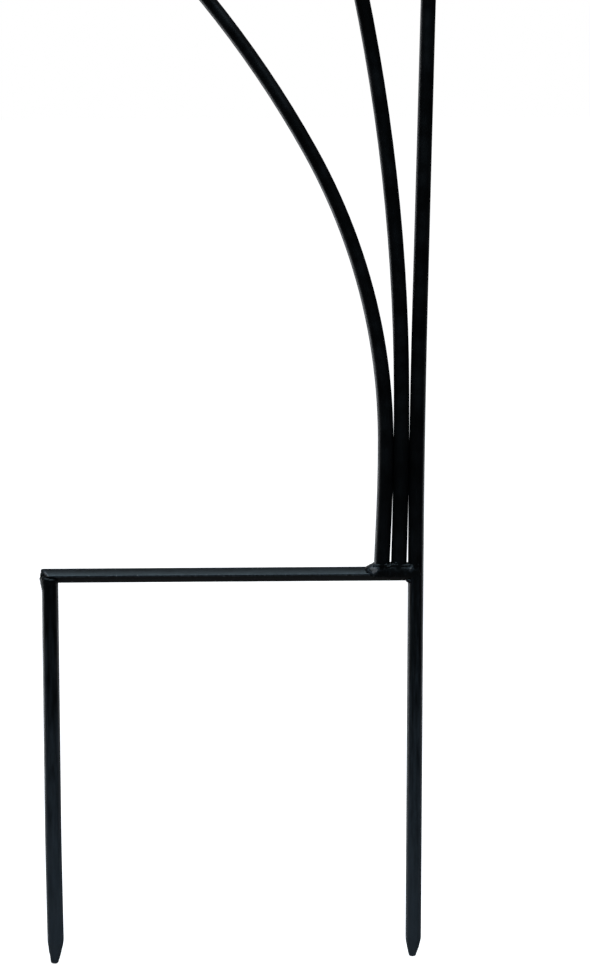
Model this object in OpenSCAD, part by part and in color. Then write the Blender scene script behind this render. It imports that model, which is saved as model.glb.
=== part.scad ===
// Flat metal trellis arch for the garden: three nested rod arches that spring
// side by side from two step-in feet, tied by straight rays behind them.
//
// Frame: +Z up, the arches lie in the XZ plane and the front looks towards -Y.
// Origin: middle of the span, on the ground line, which is the lower edge of
// the two foot bars. Everything below zero goes into the soil.

/* [Overall] */
// Distance between the two outer uprights at the ground line
span = 1372; // [1000:4:2000]
// Straight length of each outer upright, between its foot bend and its crown bend
outer_leg = 820; // [300:10:1400]
// Straight length of each middle arch side
middle_leg = 280; // [20:10:500]

/* [Rods] */
// Diameter of the arch rods and the prongs
rod_d = 9.5; // [6:0.5:12]
// Diameter of the straight ray rods
ray_d = 6; // [4:0.5:9]

/* [Outer arch] */
// Outward lean of the spike and of the upright where it passes the foot bar
outer_foot_lean = 0.47; // [0.1:0.01:1.5]
// Height on the spike's line, above the foot bar, where the upright starts to bend
outer_foot_h = 10.5; // [6:0.5:60]
// Radius of the slow outward bend above the foot
outer_kick_r = 8400; // [2000:100:12000]
// Outward lean of the straight upright
outer_lean = 1.63; // [1.6:0.01:4]

/* [Middle arch] */
// Distance between the middle and the outer upright on the foot bar, less one rod
middle_gap = 1.55; // [1:0.05:4]
// Outward lean of its foot
middle_foot_lean = 1.74; // [0.5:0.01:4]
// Straight length of its foot
middle_foot_len = 24; // [16:1:60]
// Radius from its foot up to the vertical
middle_foot_r = 3085; // [1500:5:4000]
// Radius of its side
middle_side_r = 1272; // [900:2:1600]
// Inward lean of its straight side
middle_lean = 16; // [8:1:22]

/* [Inner arch] */
// Distance between the inner and the middle upright on the foot bar, less one rod
inner_gap = 1.6; // [1:0.05:4]
// Outward lean of its foot
inner_foot_lean = 2.74; // [0.5:0.01:4]
// Straight length of its foot
inner_foot_len = 38; // [16:1:60]
// Radius from its foot up to the vertical
inner_foot_r = 1030; // [700:5:1500]
// Radius of its side
inner_side_r = 380; // [250:2:500]
// Inward lean where the side meets the crown bend
inner_lean = 29; // [20:1:40]

/* [Feet] */
// Side of the square foot bar, which is set on edge
bar_side = 6.35; // [5:0.05:8]
// Distance from the outer upright to the inner prong of the same foot
prong_spacing = 235.5; // [150:0.5:320]
// Length of foot bar beyond the middle of the prong
bar_over = 5.5; // [5.5:0.1:20]
// Depth of the inner prong below the ground line
prong_depth = 250.5; // [150:0.5:400]
// Depth of the outer spike below the ground line
spike_depth = 247.5; // [150:0.5:400]
// Radius of the ground point at its blunt end
point_r = 2.4; // [1.5:0.1:3]
// Half angle of the ground point
point_angle = 12; // [8:1:25]
// Sideways shift of the ground point, towards the left as seen from the front
point_shift = 0.7; // [0:0.1:1.5]
// Radius of the prong's welded end, which is ground to a taper for the weld
prong_end_r = 3; // [2:0.1:3]

/* [Rays] */
// Height above the ground line that the rays point away from
ray_centre_h = 200; // [0:10:300]
// Angles of the three rays on each side, from the vertical
ray_angles = [12, 36, 60]; // [5:1:70]
// Length of ray that reaches past the outer and inner arch rods
ray_over = 8; // [6:1:30]
// Gap between the rays and the back of the arches, which the welds fill
ray_gap = 0.1; // [0.05:0.05:0.5]

/* [Crown sleeves] */
// Length of a sleeve
sleeve_len = 60; // [40:2:80]
// Wall of a sleeve
sleeve_wall = 1.6; // [1.2:0.1:3]
// Radial clearance between a sleeve and its rods
sleeve_clear = 0.1; // [0.05:0.01:0.3]
// Gap between the two rod ends inside a sleeve
rod_end_gap = 1; // [0.4:0.1:3]
// Diameter of the set screws
screw_d = 4; // [3:0.5:5]
// Key size of the set screws
screw_key = 2; // [1.5:0.5:2.5]
// Distance from a sleeve's end to its set screw
screw_inset = 12; // [8:1:18]

/* [Welds] */
// Height of the weld on the uprights above the foot bar
weld_h = 3.6; // [2:0.1:6]
// Length of the weld toe along the foot bar
weld_toe = 6.4; // [3:0.1:10]
// Depth of the welds from front to back
weld_depth = 7.6; // [4:0.1:9]
// How far the weld stands proud of the prong
prong_weld_proud = 1.2; // [0.6:0.1:2]
// Height of the weld down the prong
prong_weld_h = 8; // [4:0.5:15]
// Radius of the weld where a ray crosses an arch
ray_weld_r = 4.4; // [3.5:0.1:6]
// Depth of that weld from front to back
ray_weld_h = 4; // [2:0.1:5]

/* [Hidden] */

finish = [0.07, 0.075, 0.085];  // satin black coat
plating = [0.35, 0.36, 0.38];   // dull zinc of the set screws
ring_fn = 48;                   // facets round a rod
bend_fn = 720;                  // facets round a full bend

rod_r = rod_d / 2;
ray_r = ray_d / 2;
half_span = span / 2;
bar_h = bar_side / sqrt(2);     // half the height of the bar on edge
bar_top = 2 * bar_h;
sleeve_half = sleeve_len / 2;
straight_end = sleeve_half + 2; // each crown ends straight, inside its sleeve
ray_y = rod_r + ray_r + ray_gap;
band_r = rod_r + 0.02;          // the hair-thin band where two legs of a rod meet
band_h = 0.3;
point_end = 0.5;                // radius of the flat on a ground point
point_round = 1.2;              // height of the blunt round of a ground point
weld_root = 0.2;                // how far the prong weld's lower edge starts inside the prong
far = 3000;                     // larger than the whole trellis

// --- Paths -----------------------------------------------------------------
// A station is [x, z, lean]: a place on a rod's centre line and the angle by
// which the rod leans towards the middle of the trellis as it rises.
// A leg is [length] when it is straight, or [radius, lean at its end] when it
// is a bend. A negative radius bends away from the middle.

function leg_end(s, leg) =
  len(leg) == 1
    ? [s[0] - leg[0] * sin(s[2]), s[1] + leg[0] * cos(s[2]), s[2]]
    : [s[0] - leg[0] * (cos(s[2]) - cos(leg[1])),
       s[1] + leg[0] * (sin(leg[1]) - sin(s[2])),
       leg[1]];

function stations(s, legs, i = 0) =
  i == len(legs) ? [s] : concat([s], stations(leg_end(s, legs[i]), legs, i + 1));

function last(list) = list[len(list) - 1];

// Legs that carry a side on to the crown: one bend to the horizontal, then the
// straight end that the sleeve holds.
function crown_legs(s) = [
  [(s[0] - straight_end) / cos(s[2]), 90],
  [straight_end - rod_end_gap / 2]
];

function arch_legs(start, side) = concat(side, crown_legs(last(stations(start, side))));

// Every arch starts in the middle of the foot bar.
outer_start = [half_span, bar_h, -outer_foot_lean];
middle_start = [half_span - rod_d - middle_gap, bar_h, -middle_foot_lean];
inner_start = [middle_start[0] - rod_d - inner_gap, bar_h, -inner_foot_lean];

outer_legs = arch_legs(outer_start, [
  [outer_foot_h],
  [-outer_kick_r, -outer_lean],
  [outer_leg]
]);
middle_legs = arch_legs(middle_start, [
  [middle_foot_len],
  [middle_foot_r, 0],
  [middle_side_r, middle_lean],
  [middle_leg]
]);
inner_legs = arch_legs(inner_start, [
  [inner_foot_len],
  [inner_foot_r, 0],
  [inner_side_r, inner_lean]
]);

// --- Where a ray meets an arch ---------------------------------------------
function leg_lean(s, leg, z) =
  len(leg) == 1 ? s[2] : asin(sin(s[2]) + (z - s[1]) / leg[0]);

function leg_x(s, leg, z) =
  len(leg) == 1
    ? s[0] - (z - s[1]) * tan(s[2])
    : s[0] - leg[0] * (cos(s[2]) - cos(leg_lean(s, leg, z)));

// Half width of an arch at height z. Above its crown it is zero.

function arch_x(start, legs, z, i = 0) =
  i >= len(legs) - 1 ? 0 :
  let (top = leg_end(start, legs[i]))
  z <= top[1] ? leg_x(start, legs[i], z) : arch_x(top, legs, z, i + 1);

// Lean of an arch at height z, below its crown.
function arch_lean(start, legs, z, i = 0) =
  let (top = leg_end(start, legs[i]))
  z <= top[1] ? leg_lean(start, legs[i], z) : arch_lean(top, legs, z, i + 1);

function outside(start, legs, a, t) =
  t * sin(a) > arch_x(start, legs, ray_centre_h + t * cos(a));

// Distance along a ray from its centre to an arch, by halving the interval.
function ray_hit(start, legs, a, lo = 0, hi = far, n = 40) =
  n == 0 ? (lo + hi) / 2 :
  let (t = (lo + hi) / 2)
  outside(start, legs, a, t)
    ? ray_hit(start, legs, a, lo, t, n - 1)
    : ray_hit(start, legs, a, t, hi, n - 1);

ray_starts = [for (a = ray_angles) ray_hit(inner_start, inner_legs, a)];
ray_middles = [for (a = ray_angles) ray_hit(middle_start, middle_legs, a)];
ray_ends = [for (a = ray_angles) ray_hit(outer_start, outer_legs, a)];

// --- Shapes ----------------------------------------------------------------
module bend(s, leg) {
  outward = leg[0] < 0;
  turn = outward ? 180 : 0;
  first = outward ? leg[1] : s[2];
  sweep = abs(leg[1] - s[2]);
  translate([s[0] - leg[0] * cos(s[2]), 0, s[1] - leg[0] * sin(s[2])])
    rotate([90, 0, 0])
      rotate([0, 0, first + turn])
        rotate_extrude(angle = sweep, $fn = bend_fn)
          translate([abs(leg[0]), 0])
            circle(d = rod_d, $fn = ring_fn);
}

module straight(s, length) {
  translate([s[0], 0, s[1]])
    rotate([0, -s[2], 0])
      cylinder(d = rod_d, h = length, $fn = ring_fn);
}

// Joins the ends of two legs, which only meet to within rounding.
module band(s) {
  translate([s[0], 0, s[1]])
    rotate([0, -s[2], 0])
      cylinder(r = band_r, h = band_h, center = true, $fn = ring_fn);
}

module rod_path(start, legs) {
  line = stations(start, legs);
  for (i = [0 : len(legs) - 1]) {
    if (len(legs[i]) == 1)
      straight(line[i], legs[i][0]);
    else
      bend(line[i], legs[i]);
    if (i > 0)
      band(line[i]);
  }
}

module mirror_left(left) {
  if (left)
    mirror([1, 0, 0]) children();
  else
    children();
}

// A pointed rod end: straight stock that starts at the ground point and runs up
// for length. The grind is off centre, by shift.
module pointed_rod(length, shift) {
  cone_h = length - point_round;
  intersection() {
    cylinder(d = rod_d, h = length, $fn = ring_fn);
    translate([shift, 0, 0])
      rotate_extrude($fn = ring_fn)
        polygon([
          [0, 0],
          [point_r - point_end, 0],
          [point_r, point_round],
          [point_r + cone_h * tan(point_angle), length],
          [0, length]
        ]);
  }
}

// The foot bar of the right foot, on its edge, before it is coped.
module bar_stock() {
  length = prong_spacing + bar_over;
  translate([half_span - length, 0, bar_h])
    intersection() {
      rotate([45, 0, 0])
        translate([0, -bar_side / 2, -bar_side / 2])
          cube([length, bar_side, bar_side]);
      rotate([0, 0, -45])
        translate([0, 0, -bar_side])
          cube([2 * length, 2 * length, 2 * bar_side]);
    }
}

module outer_spike_and_foot(left) {
  depth = (spike_depth + bar_h) / cos(outer_foot_lean);
  shift = left ? point_shift : -point_shift;
  translate([half_span, 0, bar_h])
    rotate([0, outer_foot_lean, 0])
      translate([0, 0, -depth])
        pointed_rod(depth + outer_foot_h, shift);
}

module outer_arch(left) {
  above = leg_end(outer_start, outer_legs[0]);
  color(finish)
    mirror_left(left) {
      outer_spike_and_foot(left);
      band(above);
      rod_path(above, [for (i = [1 : len(outer_legs) - 1]) outer_legs[i]]);
    }
}

module coped_arch(start, legs, left) {
  color(finish)
    mirror_left(left)
      difference() {
        rod_path(start, legs);
        bar_stock();
      }
}

module middle_arch(left) {
  coped_arch(middle_start, middle_legs, left);
}

module inner_arch(left) {
  coped_arch(inner_start, inner_legs, left);
}

module foot_bar(left) {
  color(finish)
    mirror_left(left)
      difference() {
        bar_stock();
        outer_spike_and_foot(left);
      }
}

// The inner prong of the right foot, before it is coped. Its upper end tapers
// from the weld's lower edge, so the bare round ends there.
module prong_stock(left) {
  length = prong_depth + bar_h;
  shift = left ? point_shift : -point_shift;
  taper = (rod_r - prong_end_r) / (bar_h / 2 + prong_weld_h);
  translate([half_span - prong_spacing, 0, -prong_depth])
    intersection() {
      pointed_rod(length, shift);
      cylinder(r1 = prong_end_r + taper * length, r2 = prong_end_r, h = length, $fn = ring_fn);
    }
}

module prong(left) {
  color(finish)
    mirror_left(left)
      difference() {
        prong_stock(left);
        bar_stock();
      }
}

// One straight ray behind the arches, number i of ray_angles.
module ray_stock(i) {
  a = ray_angles[i];
  length = ray_ends[i] - ray_starts[i] + 2 * ray_over;
  translate([0, ray_y, ray_centre_h])
    rotate([0, a, 0])
      translate([0, 0, ray_starts[i] - ray_over])
        cylinder(d = ray_d, h = length, $fn = ring_fn);
}

module ray(i, left) {
  color(finish)
    mirror_left(left)
      ray_stock(i);
}

// Height of the crown of an arch.
function crown_z(start, legs) = last(stations(start, legs))[1];

module at_crown(start, legs) {
  translate([0, 0, crown_z(start, legs)])
    children();
}

module screw_places() {
  for (side = [-1, 1])
    translate([side * (sleeve_half - screw_inset), 0, 0])
      rotate([-90, 0, 0])
        children();
}

module sleeve(start, legs) {
  bore_r = rod_r + sleeve_clear;
  color(finish)
    at_crown(start, legs)
      difference() {
        rotate([0, 90, 0])
          cylinder(r = bore_r + sleeve_wall, h = sleeve_len, center = true, $fn = ring_fn);
        rotate([0, 90, 0])
          cylinder(r = bore_r, h = sleeve_len + 2, center = true, $fn = ring_fn);
        screw_places()
          cylinder(d = screw_d, h = rod_d, $fn = ring_fn);
      }
}

// One set screw, which bears on the rod and stands a little out of the sleeve.
module set_screw() {
  proud = 0.6;
  length = sleeve_clear + sleeve_wall + proud;
  translate([0, 0, rod_r])
    difference() {
      cylinder(d = screw_d, h = length, $fn = ring_fn);
      translate([0, 0, length / 2])
        cylinder(d = screw_key * 2 / sqrt(3), h = length, $fn = 6);
    }
}

module sleeve_screws() {
  color(plating) {
    at_crown(outer_start, outer_legs) screw_places() set_screw();
    at_crown(middle_start, middle_legs) screw_places() set_screw();
    at_crown(inner_start, inner_legs) screw_places() set_screw();
  }
}

// Outline of the weld that ties the three uprights to the foot bar.
module joint_weld_outline() {
  toe = inner_start[0] - rod_r - weld_toe;
  polygon([
    [toe, bar_top],
    [toe + weld_toe + rod_r, bar_top + weld_h],
    [half_span, bar_top + weld_h],
    [half_span, -weld_h / 2],
    [half_span - rod_r - weld_h, bar_h / 2],
    [half_span - rod_r - weld_h, bar_h],
    [toe, bar_h]
  ]);
}

module prong_weld() {
  lower_r = rod_r - weld_root;
  upper_r = rod_r + prong_weld_proud;
  translate([half_span - prong_spacing, 0, bar_h / 2 - prong_weld_h])
    cylinder(r1 = lower_r, r2 = upper_r, h = prong_weld_h, $fn = ring_fn);
}

module foot_welds(left) {
  color(finish)
    mirror_left(left)
      difference() {
        union() {
          rotate([90, 0, 0])
            linear_extrude(weld_depth, center = true)
              joint_weld_outline();
          prong_weld();
        }
        bar_stock();
        outer_spike_and_foot(left);
        straight(middle_start, middle_foot_len);
        straight(inner_start, inner_foot_len);
        prong_stock(left);
      }
}

// The weld where a ray crosses an arch, at distance t along the ray.
module ray_weld(start, legs, i, t) {
  z = ray_centre_h + t * cos(ray_angles[i]);
  reach = 2 * ray_weld_r;
  translate([t * sin(ray_angles[i]), 0, z])
    difference() {
      translate([0, rod_r + ray_gap / 2, 0])
        rotate([90, 0, 0])
          cylinder(r = ray_weld_r, h = ray_weld_h, center = true, $fn = ring_fn);
      rotate([0, -arch_lean(start, legs, z), 0])
        cylinder(d = rod_d, h = 2 * reach, center = true, $fn = ring_fn);
      translate([0, ray_y, 0])
        rotate([0, ray_angles[i], 0])
          cylinder(d = ray_d, h = 2 * reach, center = true, $fn = ring_fn);
    }
}

module ray_welds(left) {
  color(finish)
    mirror_left(left)
      for (i = [0 : len(ray_angles) - 1]) {
        ray_weld(inner_start, inner_legs, i, ray_starts[i]);
        ray_weld(middle_start, middle_legs, i, ray_middles[i]);
        ray_weld(outer_start, outer_legs, i, ray_ends[i]);
      }
}

outer_arch(false);  // outer_arch_right
outer_arch(true);  // outer_arch_left
middle_arch(false);  // middle_arch_right
middle_arch(true);  // middle_arch_left
inner_arch(false);  // inner_arch_right
inner_arch(true);  // inner_arch_left
foot_bar(false);  // foot_bar_right
foot_bar(true);  // foot_bar_left
prong(false);  // prong_right
prong(true);  // prong_left
ray(0, false);  // ray_top_right
ray(1, false);  // ray_middle_right
ray(2, false);  // ray_low_right
ray(0, true);  // ray_top_left
ray(1, true);  // ray_middle_left
ray(2, true);  // ray_low_left
sleeve(outer_start, outer_legs);  // outer_sleeve
sleeve(middle_start, middle_legs);  // middle_sleeve
sleeve(inner_start, inner_legs);  // inner_sleeve
sleeve_screws();
foot_welds(false);  // foot_welds_right
foot_welds(true);  // foot_welds_left
ray_welds(false);  // ray_welds_right
ray_welds(true);  // ray_welds_left
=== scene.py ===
import math
import random

import bmesh
import bpy
from bpy.props import FloatProperty
from bpy.props import FloatVectorProperty
from bpy.props import IntProperty
from bpy.props import PointerProperty
from mathutils import Euler
from mathutils import Matrix
from mathutils import Vector
from mathutils import noise


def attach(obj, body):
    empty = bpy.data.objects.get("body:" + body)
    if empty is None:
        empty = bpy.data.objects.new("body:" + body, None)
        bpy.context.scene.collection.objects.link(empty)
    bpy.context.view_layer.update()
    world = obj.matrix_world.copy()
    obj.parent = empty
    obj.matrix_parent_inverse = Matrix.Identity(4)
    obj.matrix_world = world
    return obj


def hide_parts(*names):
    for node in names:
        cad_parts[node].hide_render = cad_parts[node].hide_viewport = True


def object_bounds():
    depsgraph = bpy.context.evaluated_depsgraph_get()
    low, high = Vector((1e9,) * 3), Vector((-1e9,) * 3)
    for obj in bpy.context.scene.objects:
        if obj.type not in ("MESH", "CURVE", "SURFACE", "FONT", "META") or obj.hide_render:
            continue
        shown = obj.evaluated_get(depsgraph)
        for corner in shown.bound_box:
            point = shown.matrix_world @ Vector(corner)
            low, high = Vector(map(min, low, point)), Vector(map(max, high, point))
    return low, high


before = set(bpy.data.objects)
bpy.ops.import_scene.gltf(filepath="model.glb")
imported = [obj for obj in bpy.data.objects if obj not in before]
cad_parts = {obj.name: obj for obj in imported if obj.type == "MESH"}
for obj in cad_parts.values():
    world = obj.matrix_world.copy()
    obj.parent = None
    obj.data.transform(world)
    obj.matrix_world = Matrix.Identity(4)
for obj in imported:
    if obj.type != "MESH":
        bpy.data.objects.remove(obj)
CAD_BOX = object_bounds()

bl_info = {
    "name": "Metal trellis arch",
    "version": (1, 0, 0),
    "blender": (4, 5, 0),
    "location": "3D View > Sidebar > Trellis",
    "description": "Builds the finished look of a flat metal trellis arch on its packed frame",
    "category": "Object",
}

MM = 0.001
SIDES = (1, -1)
SIDE_NAMES = {1: "right", -1: "left"}
ARCHES = ("outer", "middle", "inner")
WHITE = (1.0, 1.0, 1.0, 1.0)

BEND_STEP = math.radians(1.25)  # widest turn between two rings of a bend
SLEEVE_SPARE = 2 * MM  # straight rod past the end of a sleeve
COAT_LOW = 0.03  # height up to which the coat is as thick as at the feet
COAT_FADE = 0.32  # rise over which it thins to the upper coat
GRIND_DENT = 0.05 * MM  # depth of the grinding dents on the ground points
GRIND_TWIST = 900  # how fast they wind up a point, in radians a metre
BLEND = 0.35 * MM  # softness of the edge where a ground point starts
BURIED_PAINTED_LIGHT = 0.18  # painted floor light on the rods in the ground, at its most
BURIED_DEPTH = 0.22  # depth at which it is reached


# --- Sizes and colours -------------------------------------------------------
def length(name, description, millimetres):
    """A length that a user may change, stored in metres."""
    return FloatProperty(
        name=name,
        description=description,
        default=millimetres * MM,
        min=0.0,
        precision=5,
        unit="LENGTH",
    )


def lean(name, description, degrees):
    """An angle that a user may change, stored in radians."""
    return FloatProperty(
        name=name,
        description=description,
        default=math.radians(degrees),
        subtype="ANGLE",
    )


def share(name, description, value):
    """A share from 0 to 1 that a user may change."""
    return FloatProperty(
        name=name,
        description=description,
        default=value,
        min=0.0,
        max=1.0,
        subtype="FACTOR",
    )


def colour(name, description, value):
    """A colour that a user may change."""
    return FloatVectorProperty(
        name=name,
        description=description,
        default=value,
        min=0.0,
        max=1.0,
        size=3,
        subtype="COLOR",
    )


class TrellisRods(bpy.types.PropertyGroup):
    """Courses of the three nested arches, as straights and bends."""

    span: length("Span", "Distance between the outer uprights at the ground line", 1372)
    rod: length("Rod", "Diameter of the arch rods and prongs", 9.5)
    ray: length("Ray", "Diameter of the straight ray rods", 6)
    outer_foot_lean: lean("Outer foot lean", "Outward lean of the spike", 0.47)
    outer_foot: length("Outer foot", "Straight foot of the upright above the bar", 10.5)
    outer_kick: length("Outer kick", "Radius of the slow outward bend", 8400)
    outer_lean: lean("Outer lean", "Outward lean of the straight upright", 1.63)
    outer_leg: length("Outer leg", "Straight length of the upright", 820)
    middle_gap: length("Middle gap", "Gap from the outer to the middle rod at the bar", 1.55)
    middle_foot_lean: lean("Middle foot lean", "Outward lean of its foot", 1.74)
    middle_foot: length("Middle foot", "Straight length of its foot", 24)
    middle_rise: length("Middle rise", "Radius from its foot up to the vertical", 3085)
    middle_side: length("Middle side", "Radius of its side", 1272)
    middle_lean: lean("Middle lean", "Inward lean of its straight side", 16)
    middle_leg: length("Middle leg", "Straight length of its side", 280)
    inner_gap: length("Inner gap", "Gap from the middle to the inner rod at the bar", 1.6)
    inner_foot_lean: lean("Inner foot lean", "Outward lean of its foot", 2.74)
    inner_foot: length("Inner foot", "Straight length of its foot", 38)
    inner_rise: length("Inner rise", "Radius from its foot up to the vertical", 1030)
    inner_side: length("Inner side", "Radius of its side", 380)
    inner_lean: lean("Inner lean", "Inward lean where the side meets the crown", 29)
    flattening: share("Flattening", "Share by which bending thins the inner rod", 0.06)
    facets: IntProperty(
        name="Facets",
        description="Facets round a rod",
        default=48,
        min=16,
        max=96,
    )


class TrellisFeet(bpy.types.PropertyGroup):
    """Foot bars, prongs and ground points."""

    bar: length("Bar", "Side of the square foot bar, set on edge", 6.35)
    arris: length("Arris", "Radius of the bar's softened long edges", 0.75)
    crown: length("Crown", "Rise in the middle of the bar's rolled faces", 0.16)
    end_round: length("End round", "Radius of the bar's cut end", 1.3)
    sag: length("Sag", "How far the coat hangs under the bar's lower edge", 0.22)
    spacing: length("Spacing", "Distance from the outer upright to the prong", 235.5)
    over: length("Over", "Length of bar beyond the middle of the prong", 5.5)
    prong_depth: length("Prong depth", "Depth of the prong below the ground line", 250.5)
    spike_depth: length("Spike depth", "Depth of the outer spike", 247.5)
    tip: length("Tip", "Radius of the ground points at their blunt end", 2.4)
    tip_round: length("Tip round", "Height of the blunt round of the points", 1.2)
    tip_belly: length("Tip belly", "Fullness of the points half way up", 0.3)
    spike_lean: lean("Spike lean", "Half angle of the spike's ground point", 13)
    spike_shift: length("Spike shift", "Sideways shift of the spike's ground point", 0.5)
    prong_lean: lean("Prong lean", "Half angle of the prong's ground point", 10)
    prong_shift: length("Prong shift", "Sideways shift of the prong's ground point", 0.9)
    prong_spread: share("Prong spread", "Share by which the prong is hammered wider", 0.055)
    prong_drift: length("Prong drift", "Sideways drift of the prong's lower end", 0.9)


class TrellisJoints(bpy.types.PropertyGroup):
    """Rays, sleeves, set screws and welds."""

    ray_centre: length("Ray centre", "Height that the rays point away from", 200)
    ray_over: length("Ray over", "Length of ray past the outer and inner arches", 8)
    ray_gap: length("Ray gap", "Gap between rays and arches", 0.1)
    ray_low: lean("Low ray", "Angle of the lowest ray from the vertical", 60)
    ray_middle: lean("Middle ray", "Angle of the middle ray from the vertical", 36)
    ray_top: lean("Top ray", "Angle of the top ray from the vertical", 12)
    sleeve: length("Sleeve", "Length of a crown sleeve", 60)
    sleeve_wall: length("Sleeve wall", "Wall of a crown sleeve", 1.6)
    sleeve_clear: length("Sleeve clearance", "Radial clearance round the rods", 0.1)
    end_gap: length("End gap", "Gap between the rod ends inside a sleeve", 1)
    screw: length("Screw", "Diameter of the set screws", 4)
    key: length("Key", "Key size of the set screws", 2)
    screw_inset: length("Screw inset", "Distance from a sleeve's end to its screw", 12)
    weld_toe: length("Weld toe", "Length of the weld toe along the foot bar", 6.4)
    weld_rise: length("Weld rise", "Height of the weld above the foot bar", 3.6)
    grain: length("Bead grain", "Size of the skin cells of the weld beads", 0.3)


class TrellisFinish(bpy.types.PropertyGroup):
    """Colours and surface of the coat and the plated screws."""

    dark: colour("Coat, dark", "Deepest tone of the coat", (0.0012, 0.0013, 0.0015))
    light: colour("Coat, light", "Lightest tone of the coat", (0.003, 0.0033, 0.004))
    # Painted light: this colour also paints the floor light down the buried points and part of the
    # highlights on the bar end and foot welds.
    scuff_and_painted_light: colour("Scuffed coat", "Coat that soil has dulled", (0.036, 0.043, 0.052))
    # Painted highlight: this steel colour is also laid on the bar's cut end and the front of the foot
    # welds as highlights.
    bare_and_highlight: colour("Bare steel", "Steel where the coat is worn away", (0.19, 0.165, 0.16))
    zinc: colour("Zinc", "Plate of the set screws", (0.32, 0.33, 0.35))
    floor: colour("Floor", "Pale studio floor", (0.87, 0.87, 0.87))
    coat: length("Coat", "Thickness of the coat on the upper rods", 0.06)
    coat_foot: length("Foot coat", "Thickness of the coat that builds up at the feet", 0.33)
    peel: length("Peel", "Size of the coat's orange peel", 1.1)
    patch: length("Patch", "Size of the coat's uneven patches", 16)
    smooth: share("Smooth", "Roughness where the coat is smoothest", 0.3)
    dull: share("Dull", "Roughness where the coat is dullest", 0.44)


# --- Courses of the rods -----------------------------------------------------
# A place is (x, z, lean): a point on a rod's centre line and the angle by which
# the rod leans towards the middle as it rises. A leg is (length,) when straight,
# or (radius, lean at its end) when bent; a negative radius bends outwards.


def held(value):
    """A value held between 0 and 1."""
    return min(max(value, 0.0), 1.0)


def leg_end(place, leg):
    """Place at the end of a leg."""
    x, z, angle = place
    if len(leg) == 1:
        return (x - leg[0] * math.sin(angle), z + leg[0] * math.cos(angle), angle)
    radius, end = leg
    across = radius * (math.cos(angle) - math.cos(end))
    up = radius * (math.sin(end) - math.sin(angle))
    return (x - across, z + up, end)


def leg_places(place, leg, spacing):
    """Evenly spaced places along a leg, without its start."""
    if len(leg) == 1:
        count = max(1, math.ceil(leg[0] / spacing))
        return [leg_end(place, (leg[0] * i / count,)) for i in range(1, count + 1)]
    radius, end = leg
    turn = end - place[2]
    count = max(math.ceil(abs(radius * turn) / spacing), math.ceil(abs(turn) / BEND_STEP))
    return [leg_end(place, (radius, place[2] + turn * i / count)) for i in range(1, count + 1)]


def course(start, legs, spacing=0.02):
    """All places along a rod."""
    places = [start]
    for leg in legs:
        places.extend(leg_places(places[-1], leg, spacing))
    return places


class Plan:
    """Everything that is worked out from the named sizes."""

    def __init__(self, scene):
        self.rods = scene.trellis_rods
        self.feet = scene.trellis_feet
        self.joints = scene.trellis_joints
        self.finish = scene.trellis_finish
        rods = self.rods
        feet = self.feet
        joints = self.joints
        self.rod_r = rods.rod / 2
        self.half = rods.span / 2
        self.bar_h = feet.bar / math.sqrt(2)
        self.bar_top = 2 * self.bar_h
        self.straight_end = joints.sleeve / 2 + SLEEVE_SPARE
        self.ray_y = self.rod_r + rods.ray / 2 + joints.ray_gap
        outer_x = self.half
        middle_x = outer_x - rods.rod - rods.middle_gap
        inner_x = middle_x - rods.rod - rods.inner_gap
        self.starts = {
            "outer": (outer_x, self.bar_h, -rods.outer_foot_lean),
            "middle": (middle_x, self.bar_h, -rods.middle_foot_lean),
            "inner": (inner_x, self.bar_h, -rods.inner_foot_lean),
        }
        sides = {
            "outer": [
                (rods.outer_foot,),
                (-rods.outer_kick, -rods.outer_lean),
                (rods.outer_leg,),
            ],
            "middle": [
                (rods.middle_foot,),
                (rods.middle_rise, 0.0),
                (rods.middle_side, rods.middle_lean),
                (rods.middle_leg,),
            ],
            "inner": [
                (rods.inner_foot,),
                (rods.inner_rise, 0.0),
                (rods.inner_side, rods.inner_lean),
            ],
        }
        self.lines = {}
        for name, legs in sides.items():
            self.lines[name] = course(self.starts[name], self.with_crown(name, legs))
        self.crowns = {name: self.lines[name][-1][1] for name in sides}
        self.ray_angles = {
            "low": joints.ray_low,
            "middle": joints.ray_middle,
            "top": joints.ray_top,
        }

    def coated(self, height):
        """Radius of a coated rod at a height above the ground line."""
        part = held((height - COAT_LOW) / COAT_FADE)
        part = part * part * (3 - 2 * part)
        finish = self.finish
        return self.rod_r + finish.coat_foot + (finish.coat - finish.coat_foot) * part

    def flattened(self, name, place):
        """Share of the rod's width that is left in the plane of the arch."""
        if name != "inner":
            return 1.0
        first = math.radians(2)
        part = held((place[2] - first) / math.radians(30))
        return 1.0 - self.rods.flattening * part

    def with_crown(self, name, legs):
        """Adds the crown bend and the straight end that the sleeve holds."""
        place = self.starts[name]
        for leg in legs:
            place = leg_end(place, leg)
        radius = (place[0] - self.straight_end) / math.cos(place[2])
        end = self.straight_end - self.joints.end_gap / 2
        return legs + [(radius, math.radians(90)), (end,)]

    def crossing(self, name, angle):
        """Distance along a ray to an arch, and the arch's lean there."""
        ray = Vector((math.sin(angle), math.cos(angle)))
        before = None
        for x, z, arch_lean in self.lines[name]:
            spot = Vector((x, z - self.joints.ray_centre))
            side = spot.x * ray.y - spot.y * ray.x
            if before and side <= 0:
                part = before[1] / (before[1] - side)
                meet = before[0].lerp(spot, part)
                return meet.dot(ray), before[2] + (arch_lean - before[2]) * part
            before = (spot, side, arch_lean)
        raise RuntimeError(f"the ray does not meet the {name} arch")

    def spike_line(self):
        """The outer upright's line, from the ground point up to the foot bar."""
        x, z, angle = self.starts["outer"]
        depth = (self.feet.spike_depth + self.bar_h) / math.cos(angle)
        tip = (x + depth * math.sin(angle), z - depth * math.cos(angle), angle)
        return tip, depth


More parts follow.
